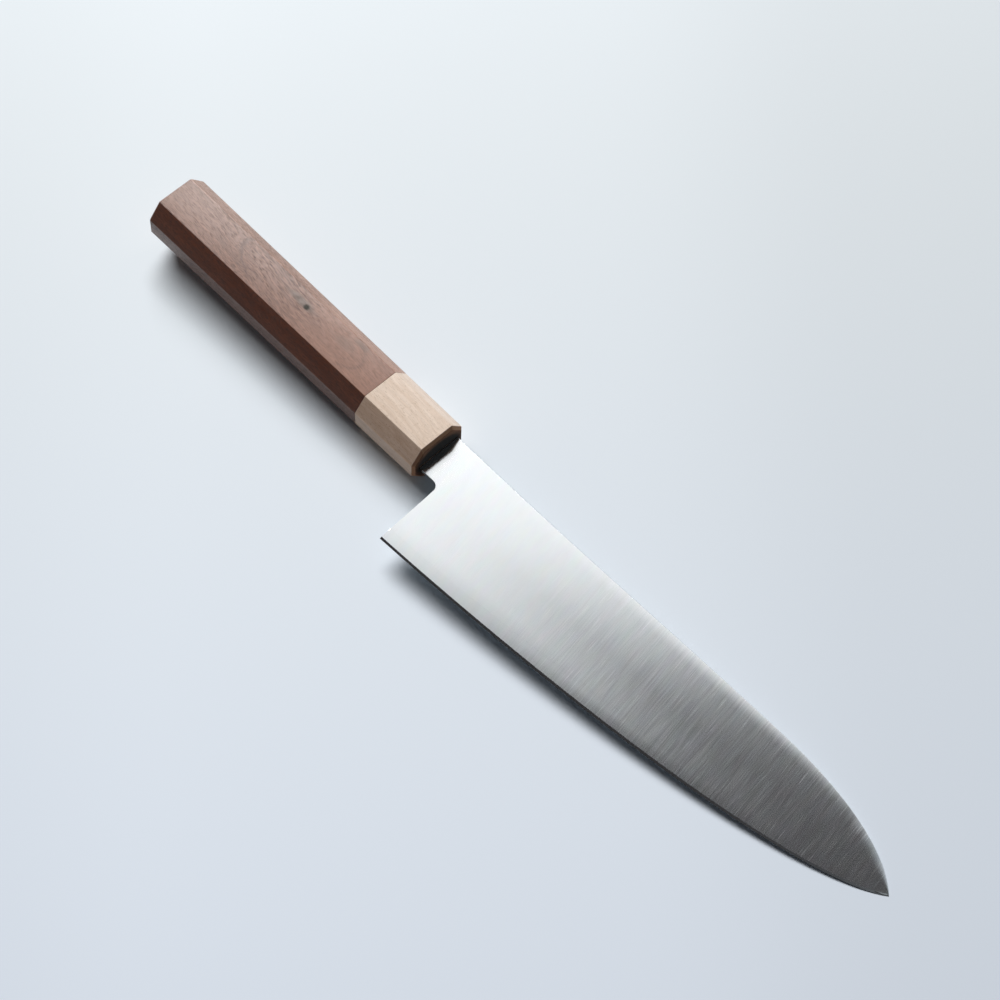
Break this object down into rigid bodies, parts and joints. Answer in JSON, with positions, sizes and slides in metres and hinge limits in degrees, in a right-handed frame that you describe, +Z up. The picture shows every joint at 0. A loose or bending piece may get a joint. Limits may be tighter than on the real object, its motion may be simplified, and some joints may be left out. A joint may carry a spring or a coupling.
{
  "type": "gyuto knife",
  "caption": "Japanese chef's knife with a laminated stainless blade, a hidden tang and a tapered octagonal wooden handle with a pale ferrule, lying on its side.",
  "frame": {"origin": "middle of the box round the knife as it lies at rest, on the table", "axes": "+X along the knife from butt to tip, +Y towards the spine, +Z up, out of the blade's right face"},
  "size_m": [0.3586, 0.0502, 0.0252],
  "materials": {
    "core_steel": "fine satin with a polished cutting bevel",
    "cladding_steel": "satin, brushed from spine to edge",
    "ferrule_wood": "pale fine-grained wood, sanded and oiled",
    "grip_wood": "walnut, open grain, sanded and lightly oiled",
    "dowel_wood": "plain turned hardwood",
    "bedding_resin": "cured resin",
    "seal_compound": "matt dark sealing bead"
  },
  "bodies": {
    "root": {"blade_core": "core_steel", "right_cladding": "cladding_steel", "left_cladding": "cladding_steel", "ferrule": "ferrule_wood", "handle_body": "grip_wood", "joining_dowel": "dowel_wood", "tang_bedding": "bedding_resin", "neck_seal": "seal_compound"}
  },
  "joints": []
}
